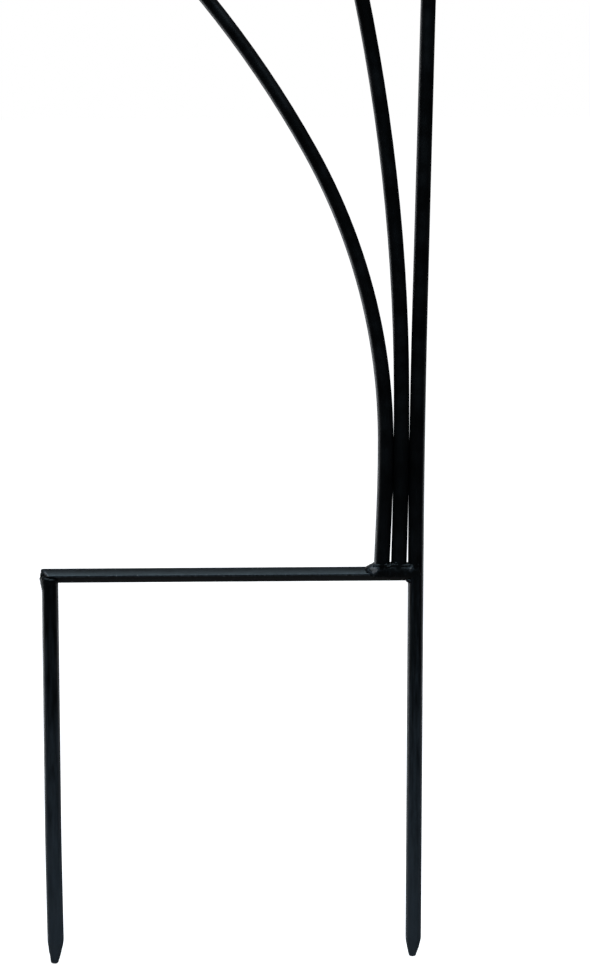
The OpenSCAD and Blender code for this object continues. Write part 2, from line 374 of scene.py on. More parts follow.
# --- Mesh helpers ------------------------------------------------------------
def finish_piece(name, mesh, material, nodes, sharp=40):
    """Makes a mesh into a piece that rides on the frame in place of its CAD nodes."""
    tidy = bmesh.new()
    tidy.from_mesh(mesh)
    bmesh.ops.recalc_face_normals(tidy, faces=tidy.faces)
    tidy.to_mesh(mesh)
    tidy.free()
    mesh.name = name
    mesh.shade_smooth()
    mesh.set_sharp_from_angle(angle=math.radians(sharp))
    mesh.materials.clear()
    mesh.materials.append(material)
    piece = bpy.data.objects.new(name, mesh)
    bpy.context.scene.collection.objects.link(piece)
    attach(piece, "root")
    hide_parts(*nodes)


def mesh_from(points, faces, wear_and_painted_light=None):
    """A mesh with a value from 0 to 1 at each point, kept as a named attribute, that lightens the coat:
    real rubbing, painted highlights and painted floor light.
    """
    mesh = bpy.data.meshes.new("rough")
    mesh.from_pydata([tuple(p) for p in points], [], faces)
    mesh.update()
    # Painted light: this attribute carries painted highlights and painted floor light besides real
    # rubbing.
    layer = mesh.attributes.new("wear_and_painted_light", "FLOAT", "POINT")
    layer.data.foreach_set("value", wear_and_painted_light or [0.0] * len(points))
    return mesh


def ring_faces(first, second, count):
    """Quads between two closed rings of points."""
    faces = []
    for i in range(count):
        after = (i + 1) % count
        faces.append((first + i, first + after, second + after, second + i))
    return faces


def rod_ring(place, y, reach, count, centre=0.0):
    """One ring round a rod. reach gives the distance from the ring's centre by angle."""
    x, z, angle = place
    across = Vector((math.cos(angle), 0.0, math.sin(angle)))
    middle = Vector((x, y, z)) + across * centre
    ring = []
    for i in range(count):
        turn = 2 * math.pi * i / count
        out = reach(turn)
        ring.append(middle + across * (out * math.cos(turn)) + Vector((0, out * math.sin(turn), 0)))
    return ring


def closed_tube(rings, wear_and_painted_light):
    """Joins rings of points into one closed tube with flat ends."""
    count = len(rings[0])
    points = [p for ring in rings for p in ring]
    faces = []
    for i in range(len(rings) - 1):
        faces.extend(ring_faces(i * count, (i + 1) * count, count))
    faces.append(tuple(range(count)))
    faces.append(tuple(range((len(rings) - 1) * count, len(rings) * count)))
    values = [value for value in wear_and_painted_light for _ in range(count)]
    return mesh_from(points, faces, values)


def mirrored(rings, side):
    """The rings of the right side, or of the left side when side is -1."""
    return [[Vector((p.x * side, p.y, p.z)) for p in ring] for ring in rings]


def circle_reach(turn, centre, radius):
    """Distance to a rod's skin from a point that lies centre away from its middle."""
    inside = radius * radius - (centre * math.sin(turn)) ** 2
    return -centre * math.cos(turn) + math.sqrt(max(inside, 0.0))


def buried_painted_light(height):
    """Painted floor light on a rod where it goes into the ground, growing from none at the ground line.
    """
    return BURIED_PAINTED_LIGHT * held(-height / BURIED_DEPTH)


def softer_of(first, second, blend):
    """The smaller of two distances, rounded where they meet."""
    part = max(blend - abs(first - second), 0.0) / blend
    return min(first, second) - part * part * blend / 4


def point_rings(plan, tip, shift, slope, seed):
    """Rings and wear of a ground point, from its blunt end up to where the rod is round."""
    feet = plan.feet
    shaky = random.Random(seed)
    grind = [shaky.uniform(-1, 1) * GRIND_DENT for _ in range(6)]
    rod_r = plan.coated(tip[1])
    full = rod_r + abs(shift)
    reach_full = feet.tip_round + (full - feet.tip) / math.tan(slope)
    flat = 0.5 * MM
    heights = [h * MM for h in (0, 0.06, 0.2, 0.45, 0.8, 1.2, 1.7)]
    while heights[-1] < reach_full + 2 * MM:
        heights.append(heights[-1] + 1.0 * MM)
    rings = []
    wear_and_painted_light = []
    for height in heights:
        if height < feet.tip_round:
            part = math.sqrt(1 - (1 - height / feet.tip_round) ** 2)
            cone = flat + (feet.tip - flat) * part
        else:
            cone = feet.tip + (height - feet.tip_round) * math.tan(slope)
        moved = held((cone - feet.tip) / (full - feet.tip))
        cone += 4 * feet.tip_belly * moved * (1 - moved)
        centre = shift * (1 - moved) ** 2

        def reach(turn, cone=cone, centre=centre, height=height):
            ground = cone
            for k, dent in enumerate(grind):
                ground += dent * math.sin((k + 1) * turn + height * GRIND_TWIST)
            stock = circle_reach(turn, centre, rod_r)
            return softer_of(ground, stock, BLEND)

        place = leg_end(tip, (height,))
        rings.append(rod_ring(place, 0.0, reach, plan.rods.facets, centre))
        wear_and_painted_light.append(0.3 * max(0.0, 1 - height / (reach_full + 4 * MM)))
    return rings, wear_and_painted_light, heights[-1]


# --- Surfaces ----------------------------------------------------------------
def wire(tree, source, target):
    """Links two sockets."""
    tree.links.new(source, target)


def group_tree(name, numbers, outputs):
    """A new shader node group: a place and named numbers in, named numbers out."""
    tree = bpy.data.node_groups.new(name, "ShaderNodeTree")
    tree.interface.new_socket(name="Place", in_out="INPUT", socket_type="NodeSocketVector")
    for label, value in numbers.items():
        socket = tree.interface.new_socket(name=label, in_out="INPUT", socket_type="NodeSocketFloat")
        socket.default_value = value
    for label in outputs:
        tree.interface.new_socket(name=label, in_out="OUTPUT", socket_type="NodeSocketFloat")
    start = tree.nodes.new("NodeGroupInput")
    end = tree.nodes.new("NodeGroupOutput")
    start.location = (-900, 0)
    end.location = (700, 0)
    return tree, start, end


def math_node(tree, operation, first, second=None, third=None, clamp=False):
    """A Math node whose inputs are sockets or plain numbers."""
    node = tree.nodes.new("ShaderNodeMath")
    node.operation = operation
    node.use_clamp = clamp
    for i, value in enumerate((first, second, third)):
        if value is None:
            continue
        if isinstance(value, (int, float)):
            node.inputs[i].default_value = value
        else:
            wire(tree, value, node.inputs[i])
    return node.outputs[0]


def noise_node(tree, place, scale, detail=2.0, rough=0.5):
    """A Noise Texture whose scale is a socket or a number."""
    node = tree.nodes.new("ShaderNodeTexNoise")
    node.inputs["Detail"].default_value = detail
    node.inputs["Roughness"].default_value = rough
    wire(tree, place, node.inputs["Vector"])
    if isinstance(scale, (int, float)):
        node.inputs["Scale"].default_value = scale
    else:
        wire(tree, scale, node.inputs["Scale"])
    return node.outputs[0]


def step_node(tree, value, low, high):
    """A smooth step from 0 at low to 1 at high."""
    node = tree.nodes.new("ShaderNodeMapRange")
    node.interpolation_type = "SMOOTHSTEP"
    node.inputs["From Min"].default_value = low
    node.inputs["From Max"].default_value = high
    wire(tree, value, node.inputs["Value"])
    return node.outputs[0]


def coat_grain_group():
    """Orange peel, uneven patches and fine specks of a sprayed coat."""
    name = "coat grain"
    if name in bpy.data.node_groups:
        return bpy.data.node_groups[name]
    sizes = {"Peel Size": 0.001, "Patch Size": 0.016}
    tree, start, end = group_tree(name, sizes, ["Height", "Patches", "Specks"])
    place = start.outputs["Place"]
    peel_scale = math_node(tree, "DIVIDE", 1.0, start.outputs["Peel Size"])
    patch_scale = math_node(tree, "DIVIDE", 1.0, start.outputs["Patch Size"])
    peel = noise_node(tree, place, peel_scale, 2.0, 0.45)
    fine = noise_node(tree, place, math_node(tree, "MULTIPLY", peel_scale, 4.0), 2.0, 0.6)
    swell = noise_node(tree, place, patch_scale, 3.0, 0.55)
    height = math_node(tree, "MULTIPLY_ADD", fine, 0.25, peel)
    wire(tree, math_node(tree, "MULTIPLY_ADD", swell, 0.8, height), end.inputs["Height"])
    wire(tree, step_node(tree, swell, 0.32, 0.68), end.inputs["Patches"])
    wire(tree, step_node(tree, fine, 0.66, 0.76), end.inputs["Specks"])
    return tree


def rub_and_highlight_mask_group():
    """Broken patches of rubbed coat and painted light that grow with the piece's own value of rubbing
    and painted light.
    """
    name = "worn patches"
    if name in bpy.data.node_groups:
        return bpy.data.node_groups[name]
    tree, start, end = group_tree(name, {"Wear And Painted Light": 0.0, "Scratch Size": 0.002}, ["Mask", "Scuff And Painted Light"])
    place = start.outputs["Place"]
    scale = math_node(tree, "DIVIDE", 1.0, start.outputs["Scratch Size"])
    broken = noise_node(tree, place, scale, 5.0, 0.65)
    together = math_node(tree, "MULTIPLY_ADD", start.outputs["Wear And Painted Light"], 0.55, broken)
    gate = step_node(tree, start.outputs["Wear And Painted Light"], 0.02, 0.3)
    rubbed_and_lit = step_node(tree, together, 0.86, 0.98)
    wire(tree, math_node(tree, "MULTIPLY", rubbed_and_lit, gate), end.inputs["Mask"])
    soft = step_node(tree, together, 0.55, 1.0)
    wire(tree, math_node(tree, "MULTIPLY", soft, gate), end.inputs["Scuff And Painted Light"])
    return tree


def floor_light_mask_group():
    """A streaked mask that grows down the ground points, for the painted floor light that lightens
    their coat towards the tips.
    """
    name = "soil dulling"
    if name in bpy.data.node_groups:
        return bpy.data.node_groups[name]
    tree, start, end = group_tree(name, {"Depth": 0.25}, ["Mask"])
    split = tree.nodes.new("ShaderNodeSeparateXYZ")
    wire(tree, start.outputs["Place"], split.inputs[0])
    below = math_node(tree, "MULTIPLY", split.outputs["Z"], -1.0)
    share_down = math_node(tree, "DIVIDE", below, start.outputs["Depth"])
    stretched = tree.nodes.new("ShaderNodeMapping")
    stretched.inputs["Scale"].default_value = (1.0, 1.0, 0.08)
    wire(tree, start.outputs["Place"], stretched.inputs["Vector"])
    streaks = noise_node(tree, stretched.outputs[0], 560.0, 3.0, 0.6)
    uneven = math_node(tree, "MULTIPLY_ADD", streaks, 1.2, share_down)
    wire(tree, step_node(tree, uneven, 0.55, 1.6), end.inputs["Mask"])
    return tree


def mixed(tree, factor, first, second, kind="RGBA"):
    """A Mix node between two colours or two values."""
    node = tree.nodes.new("ShaderNodeMix")
    node.data_type = kind
    spots = (6, 7) if kind == "RGBA" else (2, 3)
    wire(tree, factor, node.inputs[0])
    for spot, value in zip(spots, (first, second)):
        if isinstance(value, bpy.types.NodeSocket):
            wire(tree, value, node.inputs[spot])
        elif kind == "RGBA":
            node.inputs[spot].default_value = (*value, 1.0)
        else:
            node.inputs[spot].default_value = value
    return node.outputs[2 if kind == "RGBA" else 0]


def placed_group(tree, group, **values):
    """A group node with its number inputs set."""
    node = tree.nodes.new("ShaderNodeGroup")
    node.node_tree = group
    for label, value in values.items():
        node.inputs[label.replace("_", " ")].default_value = value
    return node


def coat_material(name, peel_height, dull, grain_share=1.0):
    """The black powder coat, as its rods, bars or beads carry it."""
    if name in bpy.data.materials:
        return bpy.data.materials[name]
    finish = bpy.context.scene.trellis_finish
    material = bpy.data.materials.new(name)
    material.use_nodes = True
    tree = material.node_tree
    tree.nodes.clear()
    end = tree.nodes.new("ShaderNodeOutputMaterial")
    shader = tree.nodes.new("ShaderNodeBsdfPrincipled")
    place = tree.nodes.new("ShaderNodeTexCoord").outputs["Object"]
    # This attribute also paints highlights and floor light into the coat's colour, besides real
    # rubbing.
    wear_and_painted_light = tree.nodes.new("ShaderNodeAttribute")
    wear_and_painted_light.attribute_name = "wear_and_painted_light"
    grain = placed_group(
        tree,
        coat_grain_group(),
        Peel_Size=finish.peel * grain_share,
        Patch_Size=finish.patch,
    )
    rubbed_and_lit = placed_group(tree, rub_and_highlight_mask_group(), Scratch_Size=2.2 * MM)
    floor_light = placed_group(tree, floor_light_mask_group(), Depth=0.25)
    for node in (grain, rubbed_and_lit, floor_light):
        wire(tree, place, node.inputs["Place"])
    wire(tree, wear_and_painted_light.outputs["Fac"], rubbed_and_lit.inputs["Wear And Painted Light"])
    coat = mixed(tree, grain.outputs["Patches"], finish.dark, finish.light)
    # Painted floor light: down the ground points the coat is mixed towards a lighter blue-grey; the
    # same mask makes it a little rougher below.
    floor_lit = mixed(tree, floor_light.outputs["Mask"], coat, finish.scuff_and_painted_light)
    # Painted highlight: these two mixes also lay the highlights painted on the bar's cut end and on the
    # front of the foot welds, besides real rubbing.
    scuff_and_painted_light = mixed(tree, rubbed_and_lit.outputs["Scuff And Painted Light"], floor_lit, finish.scuff_and_painted_light)
    colour_out = mixed(tree, rubbed_and_lit.outputs["Mask"], scuff_and_painted_light, finish.bare_and_highlight)
    wire(tree, colour_out, shader.inputs["Base Color"])
    rough = mixed(tree, grain.outputs["Patches"], finish.smooth + dull, finish.dull + dull, "FLOAT")
    speckled = math_node(tree, "MULTIPLY_ADD", grain.outputs["Specks"], 0.12, rough)
    rougher_low = math_node(tree, "MULTIPLY_ADD", floor_light.outputs["Mask"], 0.08, speckled, True)
    wire(tree, rougher_low, shader.inputs["Roughness"])
    shader.inputs["Specular IOR Level"].default_value = 0.42
    relief = math_node(tree, "MULTIPLY_ADD", rubbed_and_lit.outputs["Mask"], -0.6, grain.outputs["Height"])
    bump = tree.nodes.new("ShaderNodeBump")
    bump.inputs["Strength"].default_value = 1.0
    bump.inputs["Distance"].default_value = peel_height
    wire(tree, relief, bump.inputs["Height"])
    wire(tree, bump.outputs["Normal"], shader.inputs["Normal"])
    wire(tree, shader.outputs["BSDF"], end.inputs["Surface"])
    return material


def rod_coat():
    """The coat on drawn rods, prongs, rays and bars."""
    return coat_material("rod_coat", 0.045 * MM, 0.0)


def bead_coat():
    """The coat over weld beads, thinner and rougher."""
    return coat_material("bead_coat", 0.11 * MM, 0.08, 0.7)


def zinc_material():
    """Dull zinc plate with turned rings of the set screws."""
    name = "zinc_plate"
    if name in bpy.data.materials:
        return bpy.data.materials[name]
    finish = bpy.context.scene.trellis_finish
    material = bpy.data.materials.new(name)
    material.use_nodes = True
    tree = material.node_tree
    tree.nodes.clear()
    end = tree.nodes.new("ShaderNodeOutputMaterial")
    shader = tree.nodes.new("ShaderNodeBsdfPrincipled")
    place = tree.nodes.new("ShaderNodeTexCoord").outputs["Object"]
    grain = placed_group(tree, coat_grain_group(), Peel_Size=0.35 * MM, Patch_Size=2.5 * MM)
    wire(tree, place, grain.inputs["Place"])
    dark = tuple(c * 0.72 for c in finish.zinc)
    wire(tree, mixed(tree, grain.outputs["Patches"], finish.zinc, dark), shader.inputs["Base Color"])
    rough = mixed(tree, grain.outputs["Patches"], 0.3, 0.48, "FLOAT")
    wire(tree, rough, shader.inputs["Roughness"])
    shader.inputs["Metallic"].default_value = 1.0
    bump = tree.nodes.new("ShaderNodeBump")
    bump.inputs["Distance"].default_value = 0.02 * MM
    wire(tree, grain.outputs["Height"], bump.inputs["Height"])
    wire(tree, bump.outputs["Normal"], shader.inputs["Normal"])
    wire(tree, shader.outputs["BSDF"], end.inputs["Surface"])
    return material


# --- Weld beads --------------------------------------------------------------
def bead_skin(lumps, cell, smoothing, ripple, spots=()):
    """One closed skin round overlapping lumps, lightened at spots of (middle, radius, strength) as
    painted highlights.
    """
    mass = bmesh.new()
    for centre, radii, turn in lumps:
        made = bmesh.ops.create_icosphere(mass, subdivisions=2, radius=1.0)
        stretch = Matrix.Diagonal((*radii, 1.0))
        spin = Euler((0.0, turn, 0.0)).to_matrix().to_4x4()
        move = Matrix.Translation(centre)
        bmesh.ops.transform(mass, matrix=move @ spin @ stretch, verts=made["verts"])
    rough = bpy.data.meshes.new("lumps")
    mass.to_mesh(rough)
    mass.free()
    holder = bpy.data.objects.new("lumps", rough)
    bpy.context.scene.collection.objects.link(holder)
    skin = holder.modifiers.new("skin", "REMESH")
    skin.mode = "VOXEL"
    skin.voxel_size = cell
    soft = holder.modifiers.new("soft", "SMOOTH")
    soft.factor = 0.5
    soft.iterations = smoothing
    view = bpy.context.evaluated_depsgraph_get()
    mesh = bpy.data.meshes.new_from_object(holder.evaluated_get(view))
    bpy.data.objects.remove(holder)
    wear_and_painted_light = []
    moved = []
    for vertex in mesh.vertices:
        spot = vertex.co
        broad = noise.noise(spot * 420.0)
        fine = noise.noise(spot * 1100.0)
        swell = broad * 0.6 + fine * 0.4
        moved.append(spot + vertex.normal * swell * ripple)
        # Painted highlight: each spot lightens the bead's coat around its middle.
        near = 0.0
        for middle, radius, value in spots:
            near = max(near, value * math.exp(-((spot - middle).length / radius) ** 2))
        wear_and_painted_light.append(near)
    for vertex, spot in zip(mesh.vertices, moved):
        vertex.co = spot
    layer = mesh.attributes.new("wear_and_painted_light", "FLOAT", "POINT")
    layer.data.foreach_set("value", wear_and_painted_light)
    mesh.update()
    return mesh


def lump(x, y, z, rx, ry, rz, turn=0.0):
    """One lump as (centre, radii, lean), given in millimetres and degrees."""
    return (Vector((x, y, z)) * MM, (rx * MM, ry * MM, rz * MM), math.radians(turn))


def joint_lumps(plan, seed):
    """Lumps of the weld that ties the three uprights to the foot bar, right side."""
    shaky = random.Random(seed)
    rod_r = plan.rod_r / MM
    outer = plan.starts["outer"][0] / MM
    middle = plan.starts["middle"][0] / MM
    inner = plan.starts["inner"][0] / MM
    top = plan.bar_top / MM
    axis = plan.bar_h / MM
    toe = plan.joints.weld_toe / MM
    rise = plan.joints.weld_rise / MM
    ripple = 1.45
    lumps = []
    for face in (-1, 1):
        x = inner - rod_r + 0.5
        while x < outer + 1.5:
            wobble = shaky.uniform(-0.25, 0.25)
            lumps.append(lump(x, face * 3.1, axis + 2.0 + wobble, 1.9, 2.2, 4.2, 4 * face))
            rim = axis + 5.6 + 1.6 * wobble
            lumps.append(lump(x, face * (3.8 + wobble), rim, 1.5, 1.2, 1.2))
            lumps.append(lump(x + 0.6, face * 2.6, axis - 0.2 + wobble, 1.8, 2.35, 3.2))
            x += ripple
    for gap in ((inner + middle) / 2, (middle + outer) / 2):
        lumps.append(lump(gap, 0, top + rise - 3.4, 2.0, 3.0, 2.4))
        for face in (-1, 1):
            lumps.append(lump(gap, face * 2.4, axis + 4.6, 2.4, 2.2, 2.1))
    edge = inner - rod_r
    slope = ((0.2, 0.5, 2.6), (-1.3, 0.1, 2.4), (-2.9, -0.45, 2.1), (-4.3, -0.7, 1.6))
    for along, up, size in slope:
        for y in (-2.2, 0, 2.2):
            lumps.append(lump(edge + along, y, top + up - 0.6, size, size, size * 0.85, 20))
    lumps.append(lump(edge - toe + 1.4, 0, top - 1.0, 1.5, 1.9, 1.0, 20))
    for face in (-1, 1):
        lumps.append(lump(edge - 0.8, face * 3.9, axis + 0.6, 2.0, 1.3, 2.6, 30))
        lumps.append(lump(edge - 3.3, face * 3.4, axis + 1.4, 2.3, 1.4, 1.5, 30))
    under = outer - rod_r
    for y in (-1.8, 0, 1.8):
        lumps.append(lump(under - 0.1, y, 0.3, 1.9, 2.1, 1.7, 30))
        lumps.append(lump(under + 0.9, y * 1.2, -0.4, 1.3, 2.2, 1.6))
    return lumps


def highlight_lumps(plan):
    """Spatter and bead crowns on the front of the joint."""
    rod_r = plan.rod_r / MM
    outer = plan.starts["outer"][0] / MM
    middle = plan.starts["middle"][0] / MM
    inner = plan.starts["inner"][0] / MM
    edge = inner - rod_r
    return [
        lump(inner + 4.4, -4.9, 9.6, 1.6, 0.8, 0.6, -14),
        lump(middle - 1.9, -4.8, 12.1, 0.9, 0.7, 0.6),
        lump(outer - 3.6, -5.0, 8.4, 1.9, 0.9, 0.6, -32),
        lump(edge - 1.6, -4.5, 8.2, 1.5, 1.0, 1.2, 15),
        lump(edge + 0.6, -4.5, 7.6, 1.4, 1.1, 1.6),
        lump(edge - 3.6, -3.5, 7.3, 1.3, 1.0, 0.9, 10),
        lump(edge + 2.0, -4.3, 8.3, 0.9, 0.8, 1.2),
    ]


def prong_lumps(plan, seed):
    """Lumps of the weld collar between the foot bar and the prong, fuller outside, right side."""
    shaky = random.Random(seed)
    rod_r = plan.rod_r / MM
    x0 = (plan.half - plan.feet.spacing) / MM
    rows = 10
    count = 20
    lumps = []
    for row in range(rows):
        part = row / (rows - 1)
        height = 1.6 - 7.0 * part
        out = 0.1 - 0.85 * part
        size = 2.0 - 0.8 * part
        for i in range(count):
            turn = 2 * math.pi * (i + row * 0.5) / count
            wobble = shaky.uniform(-0.15, 0.15)
            radius = rod_r - 0.9 + out
            away = max(-math.cos(turn), 0.0)
            low = height * (1 + 0.75 * away) + wobble
            radius += (0.95 - 0.5 * part) * away
            x = x0 + radius * math.cos(turn)
            y = radius * math.sin(turn)
            if abs(y) > 4.6 and height > 1:
                continue
            lumps.append(lump(x, y, low, size, size, size * 0.95))
    for y in (-1.5, 0, 1.5):
        lumps.append(lump(x0 - rod_r - 0.2, y, 5.0, 1.4, 1.6, 2.1))
    return lumps


def flipped(lumps, side):
    """Lumps of the right side, or of the left side when side is -1."""
    made = []
    for centre, radii, turn in lumps:
        made.append((Vector((centre.x * side, centre.y, centre.z)), radii, turn * side))
    return made


# --- Operators ---------------------------------------------------------------
class TRELLIS_OT_arches(bpy.types.Operator):
    """Sweep the six arch halves, the outer ones down to their ground points"""

    bl_idname = "trellis.arches"
    bl_label = "Make arches"

    def execute(self, context):
        plan = Plan(context.scene)
        feet = plan.feet
        tip, depth = plan.spike_line()
        for side in SIDES:
            shift = -feet.spike_shift * side
            rings, wear_and_painted_light, height = point_rings(plan, tip, shift, feet.spike_lean, 11 + side)
            start = leg_end(tip, (height,))
            places = course(start, [(depth - height,)], 0.02)[1:] + plan.lines["outer"][1:]
            self.sweep(plan, "outer", side, rings, wear_and_painted_light, places)
            for name in ("middle", "inner"):
                self.sweep(plan, name, side, [], [], plan.lines[name])
        return {"FINISHED"}

    def sweep(self, plan, name, side, rings, wear_and_painted_light, places):
        """One arch half, after the rings of its ground point if it has one."""
        facets = plan.rods.facets
        rings = list(rings)
        wear_and_painted_light = list(wear_and_painted_light)
        for place in places:
            radius = plan.coated(place[1])
            thinned = 1 - plan.flattened(name, place)

            def reach(turn, radius=radius, thinned=thinned):
                return radius * (1 - thinned * math.cos(turn) ** 2)

            rings.append(rod_ring(place, 0.0, reach, facets))
            wear_and_painted_light.append(buried_painted_light(place[1]))
        mesh = closed_tube(mirrored(rings, side), wear_and_painted_light)
        node = f"{name}_arch_{SIDE_NAMES[side]}"
        finish_piece(node + "_rod", mesh, rod_coat(), [node])


class TRELLIS_OT_foot_bars(bpy.types.Operator):
    """Make the square foot bars, set on edge, with softened edges and a cut end"""

    bl_idname = "trellis.foot_bars"
    bl_label = "Make foot bars"

    def execute(self, context):
        plan = Plan(context.scene)
        for side in SIDES:
            mesh = self.bar(plan, side)
            name = f"foot_bar_{SIDE_NAMES[side]}"
            finish_piece(name + "_solid", mesh, rod_coat(), [name], sharp=75)
        return {"FINISHED"}

    def section(self, plan):
        """Outline of the square on edge, as (y, z, edge value), from its top round the front; the edge
        value is real rubbing along every arris that also lightens the arris highlights, a partly
        painted highlight.
        """
        h = plan.bar_h + plan.finish.coat_foot
        r = plan.feet.arris
        inner = h - r * math.sqrt(2)
        outline = []
        for corner in range(4):
            middle = math.radians(90 + 90 * corner)
            cy = inner * math.cos(middle)
            cz = inner * math.sin(middle)
            for step in range(-3, 4):
                turn = middle + math.radians(15 * step)
                outline.append((cy + r * math.cos(turn), cz + r * math.sin(turn), 1.0))
            after = middle + math.radians(90)
            ay = inner * math.cos(after) + r * math.cos(middle + math.radians(45))
            az = inner * math.sin(after) + r * math.sin(middle + math.radians(45))
            last = outline[-1]
            facing = middle + math.radians(45)
            for step in range(1, 9):
                part = step / 9
                near = max(0.0, 1 - min(part, 1 - part) * 12)
                rise = plan.feet.crown * 4 * part * (1 - part)
                y = last[0] + (ay - last[0]) * part + rise * math.cos(facing)
                z = last[1] + (az - last[1]) * part + rise * math.sin(facing)
                outline.append((y, z, near * 0.6))
        return outline

    def bar(self, plan, side):
        """One foot bar, with its free end cut to a blunt wedge, rubbed, and given a painted highlight
        along the front upper edge of the cut.
        """
        feet = plan.feet
        outline = self.section(plan)
        count = len(outline)
        left = plan.half - feet.spacing - feet.over - plan.finish.coat_foot
        along = [0.0, 0.06, 0.16, 0.32, 0.55, 0.85, 1.2, 1.6, 2.2, 3.0, 4.5, 6.5, 9.0, 12.0]
        along = [d * MM for d in along]
        pace = 4 * MM
        while left + along[-1] + pace < plan.half:
            along.append(along[-1] + pace)
        blunt = 0.7 * MM
        points = []
        wear_and_painted_light = []
        for distance in along:
            inset = max(0.0, 1 - distance / feet.end_round)
            scale = 1 - (1 - math.sqrt(1 - inset * inset)) * feet.end_round / plan.bar_h
            bent = held(1 - (distance - 1 * MM) / (10 * MM))
            for y, z, near in outline:
                nose = math.sqrt(y * y + blunt**2) - blunt
                x = left + distance + nose * bent
                swell = noise.noise(Vector((x * 90, y * 300, z * 300))) * 0.03 * MM
                size = scale + swell / plan.bar_h
                hang = feet.sag * max(0.0, -z / plan.bar_h) ** 2
                points.append(Vector((x * side, y * size, plan.bar_h + z * size - hang)))
                # Painted highlight: the cut end is rubbed a little all round and far more along its
                # front upper edge, which paints the highlight on that edge.
                corner = held(-y / (3 * MM)) if z > -0.3 * MM else 0.0
                fade = min(1.0, 1.8 * max(0.0, 1 - distance / (3.2 * MM)))
                end_rub_and_highlight = fade * (0.15 + 0.85 * corner)
                # Along the arrises the value is real rubbing that also lightens their highlights, a
                # partly painted highlight.
                wear_and_painted_light.append(max(near * 0.5, end_rub_and_highlight))
        faces = []
        for i in range(len(along) - 1):
            faces.extend(ring_faces(i * count, (i + 1) * count, count))
        faces.append(tuple(range((len(along) - 1) * count, len(along) * count)))
        faces.extend(self.nose_faces(points, wear_and_painted_light, outline, left, side, count))
        return mesh_from(points, faces, wear_and_painted_light)

    def nose_faces(self, points, wear_and_painted_light, outline, left, side, count):
        """Closes the wedge-cut end along a middle line."""
        tiny = 1e-7
        front = [i for i in range(count) if outline[i][0] < -tiny]
        back = [i for i in range(count) if outline[i][0] > tiny]
        ends = [i for i in range(count) if abs(outline[i][0]) <= tiny]
        front.sort(key=lambda i: -outline[i][1])
        back.sort(key=lambda i: -outline[i][1])
        ends.sort(key=lambda i: -outline[i][1])
        if len(ends) != 2 or len(front) != len(back):
            raise RuntimeError("the bar's outline is not even about its middle")
        spine = []
        for i in front:
            spine.append(len(points))
            points.append(Vector((left * side, 0.0, points[i].z)))
            wear_and_painted_light.append(0.35)
        faces = []
        for chain in (front, back):
            faces.append((ends[0], chain[0], spine[0]))
            faces.append((ends[1], spine[-1], chain[-1]))
            for i in range(len(chain) - 1):
                faces.append((chain[i], chain[i + 1], spine[i + 1], spine[i]))
        return faces


class TRELLIS_OT_prongs(bpy.types.Operator):
    """Make the two inner prongs with their ground points"""

    bl_idname = "trellis.prongs"
    bl_label = "Make prongs"

    def execute(self, context):
        plan = Plan(context.scene)
        facets = plan.rods.facets
        feet = plan.feet
        tip = (plan.half - feet.spacing, -feet.prong_depth, 0.0)
        depth = feet.prong_depth + plan.bar_h
        for side in SIDES:
            shift = -feet.prong_shift * side
            rings, wear_and_painted_light, height = point_rings(plan, tip, shift, feet.prong_lean, 31 + side)
            start = leg_end(tip, (height,))
            for place in course(start, [(depth - height,)], 0.01)[1:]:
                radius = plan.coated(place[1])
                rings.append(rod_ring(place, 0.0, lambda turn, r=radius: r, facets))
                wear_and_painted_light.append(buried_painted_light(place[1]))
            self.hammer(plan, rings, tip[0])
            mesh = closed_tube(mirrored(rings, side), wear_and_painted_light)
            name = f"prong_{SIDE_NAMES[side]}"
            finish_piece(name + "_rod", mesh, rod_coat(), [name])
        return {"FINISHED"}

    def hammer(self, plan, rings, middle):
        """Spreads the whole prong in width, and lets its lower end drift outwards."""
        feet = plan.feet
        spread = 1 + feet.prong_spread
        straight = 0.65
        for ring in rings:
            for spot in ring:
                down = held(-spot.z / feet.prong_depth)
                drift = feet.prong_drift * max(0.0, (down - straight) / (1 - straight)) ** 1.3
                spot.x = middle + (spot.x - middle) * spread + drift


class TRELLIS_OT_rays(bpy.types.Operator):
    """Make the six straight rays with rounded cut ends"""

    bl_idname = "trellis.rays"
    bl_label = "Make rays"

    def execute(self, context):
        plan = Plan(context.scene)
        radius = plan.rods.ray / 2
        facets = plan.rods.facets
        over = plan.joints.ray_over
        for label, angle in plan.ray_angles.items():
            first = plan.crossing("inner", angle)[0] - over
            last = plan.crossing("outer", angle)[0] + over
            rings, wear_and_painted_light = self.rod(plan, angle, first, last, radius, facets)
            for side in SIDES:
                name = f"ray_{label}_{SIDE_NAMES[side]}"
                mesh = closed_tube(mirrored(rings, side), wear_and_painted_light)
                finish_piece(name + "_rod", mesh, rod_coat(), [name])
        return {"FINISHED"}

    def rod(self, plan, angle, first, last, radius, facets):
        """Rings and wear of one ray, with its cut ends rounded by (distance, share of radius)."""
        edge = [(0.0, 0.86), (0.08, 0.93), (0.25, 0.975), (0.55, 1.0), (3.0, 1.0)]
        edge = [(d * MM, share_r) for d, share_r in edge]
        spacing = 0.02
        count = max(2, math.ceil((last - first) / spacing))
        stops = [(first + d, s) for d, s in edge]
        for i in range(1, count):
            stops.append((first + (last - first) * i / count, 1.0))
        stops.extend((last - d, s) for d, s in reversed(edge))
        rings = []
        wear_and_painted_light = []
        for distance, share_r in stops:
            x = distance * math.sin(angle)
            z = plan.joints.ray_centre + distance * math.cos(angle)
            place = (x, z, -angle)
            rings.append(rod_ring(place, plan.ray_y, lambda turn, s=share_r: radius * s, facets))
            end = min(distance - first, last - distance)
            wear_and_painted_light.append(0.6 * max(0.0, 1 - end / (1.2 * MM)))
        return rings, wear_and_painted_light


